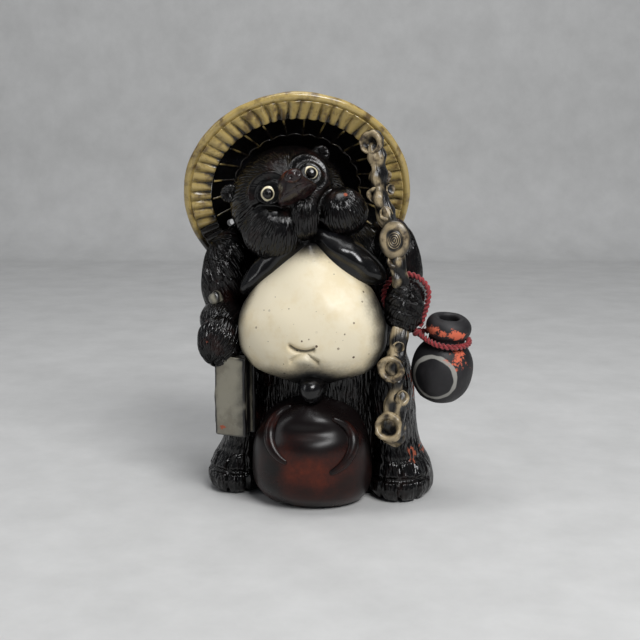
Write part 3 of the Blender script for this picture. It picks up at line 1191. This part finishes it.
class STATUE_OT_book(bpy.types.Operator):
    """Account book: two boards and a spine round a block of pages, with its toggle"""
    bl_idname = "statue.book"
    bl_label = "Account book"

    def slab(self, x, y, half_wide, half_thick, seed, low=BOOK_LOW, bow=0.0):
        """Slab with rounded edges that bows out in the middle of its height, in the frame of the book."""
        turn = math.radians(BOOK_TURN)
        across = np.array((math.cos(turn), math.sin(turn), 0.0))
        away = np.array((-math.sin(turn), math.cos(turn), 0.0))
        high = BOOK_HIGH
        rows = [(low + (high - low) * share, 0.0, half_wide, -half_thick, half_thick)
                for share in (0.0, 0.3, 0.7, 1.0)]
        grid = stack(rows, 120, 90, rounding=1.6, power=7.0)
        level = grid.points[..., 2]
        rise = np.sin(math.pi * np.clip((level - low) / (high - low), 0, 1))
        local_x = grid.points[..., 0] + x
        local_y = grid.points[..., 1] + y - bow * rise
        # Grime along the edges, and a shadow towards the figure.
        half_high = (high - low) / 2
        edge = np.maximum(soft_step(np.abs(grid.points[..., 0]), half_wide - 2.2, half_wide - 0.3),
                          soft_step(np.abs(level - (low + high) / 2), half_high - 2.6, half_high))
        grime = (0.8 * edge * (0.8 + 0.4 * ripple(grid.points, 14.0, seed))
                 + 0.1 * ripple(grid.points, 9.0, seed + 2))
        shadow = 0.55 * soft_step(local_x, 1.0, 12.0) + 0.25 * soft_step(local_x, -7.0, -12.0)
        grid.shade = np.clip(grime + shadow, 0, 1)
        grid.points = (BOOK_AT + local_x[..., None] * across + local_y[..., None] * away
                       + level[..., None] * np.array((0, 0, 1.0)))
        return swell(grid, 0.25 * ripple(grid.points, 17.0, seed + 1)), away

    def execute(self, context):
        boards = [self.slab(0.0, -BOARD_OUT, BOARD_HALF_WIDTH, BOARD_HALF_THICK, 211, bow=0.9)[0],
                  self.slab(0.0, BOARD_OUT, BOARD_HALF_WIDTH, BOARD_HALF_THICK, 213)[0],
                  self.slab(-11.0, 0.0, 1.5, 8.7, 215)[0]]
        for board in boards:
            board.wear = 0.62 * hump(away_from(board, (-66.0, -52.0, 57.0)), 5.0)
        skin("passbook", boards, book_glaze(), ["passbook"])
        block, away = self.slab(0.6, 0.0, 10.2, 6.1, 217, low=51.4)
        # Leaves: fine ridges along the block's height, one for each fold of pages.
        leaf = np.abs(np.sin((block.points - BOOK_AT) @ away * math.pi / 2.4))
        swell(block, -0.6 * (1 - leaf))
        block.shade = np.clip(block.shade * 0.6 + 0.55 * (1 - leaf), 0, 1)
        skin("passbook_pages", [block], book_glaze(), ["passbook_pages"])
        toggle = egg((-75.0, -29.0, 149.0), (5.0, 6.0, 6.5), 0.0, (0.2, -0.8, 0.6), 64, 44)
        swell(toggle, 0.3 * ripple(toggle.points, 6.0, 221))
        toggle.shade = np.clip(0.5 + 0.4 * ripple(toggle.points, 7.0, 222), 0, 1)
        skin("passbook_toggle", [toggle], book_glaze(), ["passbook_toggle"])
        return {"FINISHED"}


class STATUE_OT_staff(bpy.types.Operator):
    """Knotty staff above and below the fist, with its plate"""
    bl_idname = "statue.staff"
    bl_label = "Staff"

    def branch(self, path, radii):
        """Branch: a limb with long flutes that twist a little, and swellings, dark on its shadow side."""
        branch = limb(path, radii, 72, 200)
        flute = np.sin(3 * branch.turn + branch.along / 14.0 + 1.5 * ripple(branch.points, 24.0, 231))
        swell(branch, 0.7 * flute + 0.9 * ripple(branch.points, 13.0, 232) - 0.3)
        branch.combed = branch.combed + 0.8
        x, z = branch.points[..., 0], branch.points[..., 2]
        middle = through([-p[2] for p in path], [p[0] for p in path], -z.ravel()).reshape(z.shape)
        right = soft_step(x - middle, 0.5, 5.5)
        dark = 0.32 + 0.5 * (1 - flute) / 2 + 0.45 * right
        branch.shade = np.clip(dark + 0.5 * ripple(branch.points, 12.0, 233), 0, 1)
        return branch

    def cup(self, place, way, radius, seed):
        """Knot of a branch: a turned cup with a rolled edge round a hollow, sunk in the branch."""
        tall = radius / 7.0
        profile = np.array((
            (0.3, -5.0), (1.0, -4.5), (1.06, -1.0), (1.0, 1.2), (0.86, 2.1), (0.68, 1.7), (0.5, 0.2),
            (0.3, -1.2), (0.1, -1.8), (0.02, -1.9))) * (radius, tall)
        at = np.linspace(0, len(profile) - 1, 40)
        cup = turned(through(np.arange(len(profile)), profile, at), place, way, 56)
        depth = (cup.points - np.asarray(place)) @ unit(way)
        swell(cup, 0.85 * ripple(cup.points, 17.0, seed) + 0.25 * ripple(cup.points, 6.0, seed + 2) - 0.3)
        hollow = 0.72 * soft_step(depth, 1.3 * tall, -0.6)
        cup.shade = np.clip(hollow + 0.2 + 0.35 * ripple(cup.points, 7.0, seed + 1), 0, 1)
        return cup

    def plate(self):
        """Plate: a flat egg with plain growth rings inside a groove, as on a sawn branch."""
        plate = egg(PLATE_AT, (PLATE_WIDE, PLATE_THICK, PLATE_HIGH), 0.0, (0, -1, 0), 130, 110)
        x, y, z = np.moveaxis(plate.points - PLATE_AT, -1, 0)
        out = np.hypot(x / PLATE_WIDE, z / PLATE_HIGH)
        front = soft_step(-y, 0.0, 1.5)
        inner = soft_step(out, 0.5, 0.44)
        rings = np.sin(out * 52.0) * inner
        swell(plate, front * (0.3 * rings - 0.6 * hump(out - 0.52, 0.05)))
        dark = front * (0.55 * (1 - rings) * inner + 0.7 * hump(out - 0.52, 0.06)) + (1 - front) * 0.9
        worn = 0.18 + 0.5 * soft_step(out, 0.7, 1.0) + 0.25 * ripple(plate.points, 9.0, 251)
        plate.shade = np.clip(dark + worn, 0, 1)
        return plate

    def execute(self, context):
        for name, path, radii, knots in (("staff_upper", STAFF_UPPER, STAFF_UPPER_RADII, STAFF_UPPER_KNOTS),
                                         ("staff_lower", STAFF_LOWER, STAFF_LOWER_RADII, STAFF_LOWER_KNOTS)):
            cups = [self.cup(*knot, 241 + k) for k, knot in enumerate(knots)]
            skin(name, [self.branch(path, radii), *cups], branch_wash(), [name])
        skin("staff_medallion", [self.plate()], branch_wash(), ["staff_medallion"])
        return {"FINISHED"}


class STATUE_OT_flask(bpy.types.Operator):
    """Round flask with a grooved neck, a thick collar and an open mouth"""
    bl_idname = "statue.flask"
    bl_label = "Flask"

    def execute(self, context):
        # Profile as (radius, height): foot, belly, neck, collar, lip, bore, inside and floor.
        profile = [np.linspace((0.4, 0.0), (13.6, 0.0), 8), arc((14.5, 0.6), (23.3, 22.0), (13.7, 43.7), 60),
                   np.linspace((13.6, 44.2), (13.6, 48.8), 6),
                   arc((13.7, 49.3), (16.7, 55.5), (11.5, 63.2), 30),
                   arc((11.3, 63.3), (9.4, 63.9), (7.2, 62.9), 8), np.linspace((6.7, 62.0), (6.6, 44.0), 12),
                   arc((6.8, 43.0), (20.0, 22.0), (13.0, 3.4), 24), np.linspace((12.0, 3.2), (0.4, 3.2), 6)]
        pot = turned(np.concatenate(profile), FLASK_FOOT, FLASK_UP, 260)
        swell(pot, 0.25 * ripple(pot.points, 22.0, 261) - 0.15)
        level = (pot.points - FLASK_FOOT) @ FLASK_UP
        outside = np.arange(pot.points.shape[0])[:, None] < FLASK_OUTSIDE
        # A plain painted ring on the front, brushed unevenly.
        width = RING_HALF_WIDTH + 0.35 * ripple(pot.points, 9.0, 262)
        pot.shade = hump(away_from(pot, RING_AT) - RING_RADIUS, width) * (level < 43.0) * outside
        # Flakes: the collar's front and shoulder lost the most slip.
        front = soft_step(-(pot.points[..., 1] - FLASK_FOOT[1] - level * FLASK_UP[1]), -4.0, 10.0)
        collar = hump(level - 55.5, 6.5) * front * 0.44
        shoulder = hump(away_from(pot, (107.0, -32.0, 112.0)), 13.0) * 0.46
        right = hump(away_from(pot, (112.0, -26.0, 96.0)), 16.0) * 0.33
        worn = (np.maximum(collar, np.maximum(shoulder, right)) + 0.07) * outside
        pot.wear = np.clip(worn + 0.1 * ripple(pot.points, 17.0, 263), 0, 1)
        skin("flask", [pot], flask_slip(), ["flask"], "flask")
        return {"FINISHED"}


def cord_line(name, points):
    """Points in mm along a smooth cord: one open curve of third order, led by the corners of its route."""
    data = bpy.data.curves.new(name + "_route", "CURVE")
    data.dimensions = "3D"
    data.resolution_u = 24
    spline = data.splines.new("NURBS")
    spline.points.add(len(points) - 1)
    corners = np.concatenate([np.asarray(points) * MM, np.ones((len(points), 1))], 1)
    spline.points.foreach_set("co", corners.ravel())
    spline.order_u = 3
    spline.use_endpoint_u = True
    route = bpy.data.objects.new(name + "_route", data)
    bpy.context.scene.collection.objects.link(route)
    mesh = bpy.data.meshes.new_from_object(route)
    line = np.zeros(len(mesh.vertices) * 3, np.float32)
    mesh.vertices.foreach_get("co", line)
    bpy.data.objects.remove(route)
    bpy.data.curves.remove(data)
    bpy.data.meshes.remove(mesh)
    return line.reshape(-1, 3).astype(float) / MM


def laid_strands(line, normal, lay):
    """Two strands of a twisted cord: circles carried on a helix round a line whose plane has a normal."""
    places = lengths_along(line)
    at = np.arange(0, places[-1], 0.45)
    line = np.stack([np.interp(at, places, line[:, k]) for k in range(3)], -1)
    tangent = unit(np.gradient(line, axis=0))
    first = np.broadcast_to(unit(normal), line.shape)
    second = np.cross(tangent, first)
    grids = []
    for start in (0, math.pi):
        twist = (TAU * at / lay + start)[:, None]
        middle = line + STRAND_OUT * (np.cos(twist) * first + np.sin(twist) * second)
        u, points = tube_round(middle, first, second, STRAND_RADIUS, 14)
        grids.append(form(points, u + 0.6 * twist, at[:, None], TAU * STRAND_RADIUS))
    return grids, places[-1]


class STATUE_OT_cord(bpy.types.Operator):
    """Red cord: a loop round the wrist, its knot and a noose round the neck of the flask"""
    bl_idname = "statue.cord"
    bl_label = "Cord"

    def overhand(self):
        """Overhand knot: a tube on the curve sin t + 2 sin 2t, cos t - 2 cos 2t, -1.3 sin 3t, with wisps."""
        t = np.linspace(0, TAU, 160, endpoint=False)
        way = 1.12 * np.stack([np.sin(t) + 2 * np.sin(2 * t), np.cos(t) - 2 * np.cos(2 * t),
                               -1.3 * np.sin(3 * t)], -1)
        tangent = unit(np.roll(way, -1, 0) - np.roll(way, 1, 0))
        first = unit(np.cross(tangent, (0.13, 0.21, 1.0)))
        u, tube = tube_round(way, first, np.cross(tangent, first), KNOT_STRAND, 14)
        turn = np.stack([unit((1, 0, -0.3)), unit(np.cross((0, 0, 1), (1, 0, -0.3))), unit((0.3, 0, 1))])
        round_cord = TAU * KNOT_STRAND
        grids = [form(KNOT + tube @ turn, u + 3 * t[:, None], 30 * t[:, None] / TAU, round_cord, loop=True)]
        # Loose fibres: how far each reaches from the knot, and how far its end lifts.
        for reach, lift in (((6.0, -2.0, 4.5), 2.0), ((4.5, -4.0, 6.0), 1.5), ((-4.0, -4.5, 2.0), 1.0),
                            ((7.0, 0.5, 2.0), 2.5)):
            reach = np.array(reach)
            wisp = [KNOT + 0.5 * reach, KNOT + 0.85 * reach + (0, 0, 0.3 * lift),
                    KNOT + 1.15 * reach + (0.3, 0, lift)]
            grids.append(limb(wisp, (0.3, 0.22, 0.12), 6, 14, (0.1, 1, 0.2)))
        return grids

    def execute(self, context):
        lay = context.scene.statue_sizes.cord_lay
        # Corners of the loop's route, in mm from the middle of the wrist, in its upright plane.
        loop = ((10.25, -21.4), (18.2, 0.4), (13.1, 12.7), (1.0, 18.2), (-11.6, 14.1), (-18.0, 2.5),
                (-14.9, -10.4), (4.4, -23.35))
        line = cord_line("wrist_cord", [WRIST + (x, 0.0, z) for x, z in loop])
        strands, length = laid_strands(line, (0, 1, 0), lay)
        wrist = skin("wrist_cord", strands, cotton_cord(), ["wrist_cord"], "cord")

        neck = FLASK_FOOT + FLASK_UP * NOOSE_LEVEL
        out = unit(KNOT - neck)
        side = np.cross(FLASK_UP, out)
        # Corners of the noose's route, in mm from the middle of the neck, towards the knot and across.
        noose = ((18.8, 3.8), (7.7, 16.3), (-6.4, 16.8), (-16.55, 7.05), (-16.55, -7.05),
                 (-6.4, -16.8), (7.7, -16.3), (18.8, -3.8))
        neck_line = cord_line("neck_noose", [neck + x * out + y * side for x, y in noose])
        strands, neck_length = laid_strands(neck_line, FLASK_UP, lay)
        ring = skin("neck_noose", strands, cotton_cord(), ["neck_noose"], "noose")

        knot = skin("noose_knot", self.overhand(), cotton_cord(), ["noose_knot"], "noose")
        return {"FINISHED"}


def pale_plaster():
    """Trowelled pale plaster of the floor and wall: matt, with faint cloudy patches."""
    material, tree = bare_material("pale_plaster")
    patch_mm = 60.0
    place = node(tree, "TexCoord").outputs["Object"]
    patch = node(tree, "TexNoise", {"Vector": place, "Scale": 1000 / patch_mm, "Detail": 6.0,
                                    "Roughness": 0.65}).outputs["Fac"]
    share = node(tree, "MapRange", {"Value": patch, "From Min": 0.3, "From Max": 0.7}).outputs[0]
    paint = node(tree, "Mix", {SHARE: share, COLOUR_A: linear("#bebebd"), COLOUR_B: linear("#cbcbca")},
                 data_type="RGBA").outputs[MIXED]
    bump = node(tree, "Bump", {"Height": patch, "Strength": 0.15, "Distance": 1.0 * MM}).outputs[0]
    surface = node(tree, "BsdfPrincipled", {"Base Color": paint, "Roughness": 0.8, "Normal": bump})
    node(tree, "OutputMaterial", {"Surface": surface.outputs[0]})
    return material


class STATUE_OT_stage(bpy.types.Operator):
    """Pale floor that runs up into a wall, soft light and the camera"""
    bl_idname = "statue.stage"
    bl_label = "Stage"

    def floor(self, scene, aim):
        """Floor: a profile that runs back, bends up in a quarter circle and goes on as a wall, drawn out."""
        back = np.array((-math.sin(aim), math.cos(aim), 0.0))
        side = np.array((math.cos(aim), math.sin(aim), 0.0))
        bend_from, bend = 1400.0, 200.0
        turn = np.linspace(0, 1, 40) * math.pi / 2
        curve = np.stack([bend_from + bend * np.sin(turn), bend - bend * np.cos(turn)], -1)
        run = np.concatenate([[(-2500.0, 0.0)], curve, [(bend_from + bend, 2600.0)]])
        wide = np.linspace(-3000.0, 3000.0, 9)
        points = (run[:, None, 0, None] * back + run[:, None, 1, None] * np.array((0, 0, 1.0))
                  + wide[None, :, None] * side)
        count = points.shape[:2]
        index = np.arange(count[0] * count[1]).reshape(count)
        faces = np.stack([index[:-1, :-1], index[:-1, 1:], index[1:, 1:], index[1:, :-1]], -1).reshape(-1, 4)
        mesh = bpy.data.meshes.new("floor")
        mesh.from_pydata((points.reshape(-1, 3) * MM).tolist(), [], faces.tolist())
        mesh.polygons.foreach_set("use_smooth", np.ones(len(faces), bool))
        mesh.materials.append(pale_plaster())
        floor = bpy.data.objects.new("floor", mesh)
        scene.collection.objects.link(floor)

    def lamp(self, scene, name, at, aim_at, size, power):
        """Soft box: an oblong lamp that faces a point; places and sizes in metres, power in watts."""
        data = bpy.data.lights.new(name, "AREA")
        data.shape = "RECTANGLE"
        data.size, data.size_y = size
        data.energy = power
        box = bpy.data.objects.new(name, data)
        box.location = at
        box.rotation_euler = (Vector(aim_at) - Vector(at)).to_track_quat("-Z", "Y").to_euler()
        scene.collection.objects.link(box)

    def execute(self, context):
        scene = context.scene
        aim = math.radians(CAMERA_TURN)
        self.floor(scene, aim)
        self.lamp(scene, "window", (0.85, -1.15, 1.35), (0.0, 0.0, 0.14), (0.9, 0.6), 29.0)
        self.lamp(scene, "left_fill", (-1.6, -0.7, 0.8), (0.0, 0.0, 0.16), (0.4, 1.2), 4.0)
        self.lamp(scene, "ceiling", (0.0, -0.1, 2.2), (0.0, 0.0, 0.0), (1.4, 1.0), 19.0)
        world = bpy.data.worlds.new("soft_room")
        world.use_nodes = True
        world.node_tree.nodes["Background"].inputs["Color"].default_value = linear("#cfd6e2")
        world.node_tree.nodes["Background"].inputs["Strength"].default_value = 0.17
        scene.world = world

        data = bpy.data.cameras.new("camera")
        data.sensor_width = SENSOR
        data.lens = LENS
        data.clip_start, data.clip_end = 0.05, 20.0
        camera = bpy.data.objects.new("camera", data)
        camera.location = VIEWER * MM
        camera.rotation_euler = (math.radians(CAMERA_TILT), 0.0, aim)
        scene.collection.objects.link(camera)
        scene.camera = camera
        scene.view_settings.view_transform = "Standard"
        return {"FINISHED"}


class STATUE_PT_pieces(bpy.types.Panel):
    """Pieces of the statue in the sidebar"""
    bl_idname = "STATUE_PT_pieces"
    bl_label = "Stoneware statue"
    bl_space_type = "VIEW_3D"
    bl_region_type = "UI"
    bl_category = "Statue"

    def draw(self, context):
        for operator in OPERATORS:
            self.layout.operator(operator.bl_idname)
        for key in StatueSizes.__annotations__:
            self.layout.prop(context.scene.statue_sizes, key)
        for key in StatueColours.__annotations__:
            self.layout.prop(context.scene.statue_colours, key)


OPERATORS = (STATUE_OT_stage, STATUE_OT_cord, STATUE_OT_flask, STATUE_OT_body, STATUE_OT_belly, STATUE_OT_bag,
             STATUE_OT_feet, STATUE_OT_arms, STATUE_OT_book, STATUE_OT_staff, STATUE_OT_hat, STATUE_OT_head,
             STATUE_OT_eyes, STATUE_OT_collars)


def register():
    """Adds the settings, the operators and the panel to Blender."""
    for kind in (StatueColours, StatueSizes, *OPERATORS, STATUE_PT_pieces):
        bpy.utils.register_class(kind)
    bpy.types.Scene.statue_colours = bpy.props.PointerProperty(type=StatueColours)
    bpy.types.Scene.statue_sizes = bpy.props.PointerProperty(type=StatueSizes)


def unregister():
    """Takes the panel, the operators and the settings out again."""
    del bpy.types.Scene.statue_sizes
    del bpy.types.Scene.statue_colours
    for kind in (STATUE_PT_pieces, *reversed(OPERATORS), StatueSizes, StatueColours):
        bpy.utils.unregister_class(kind)


def main():
    """Makes the stage and every piece."""
    register()
    for operator in OPERATORS:
        group, name = operator.bl_idname.split(".")
        getattr(getattr(bpy.ops, group), name)()
    bpy.context.view_layer.update()


if __name__ == "__main__":
    main()
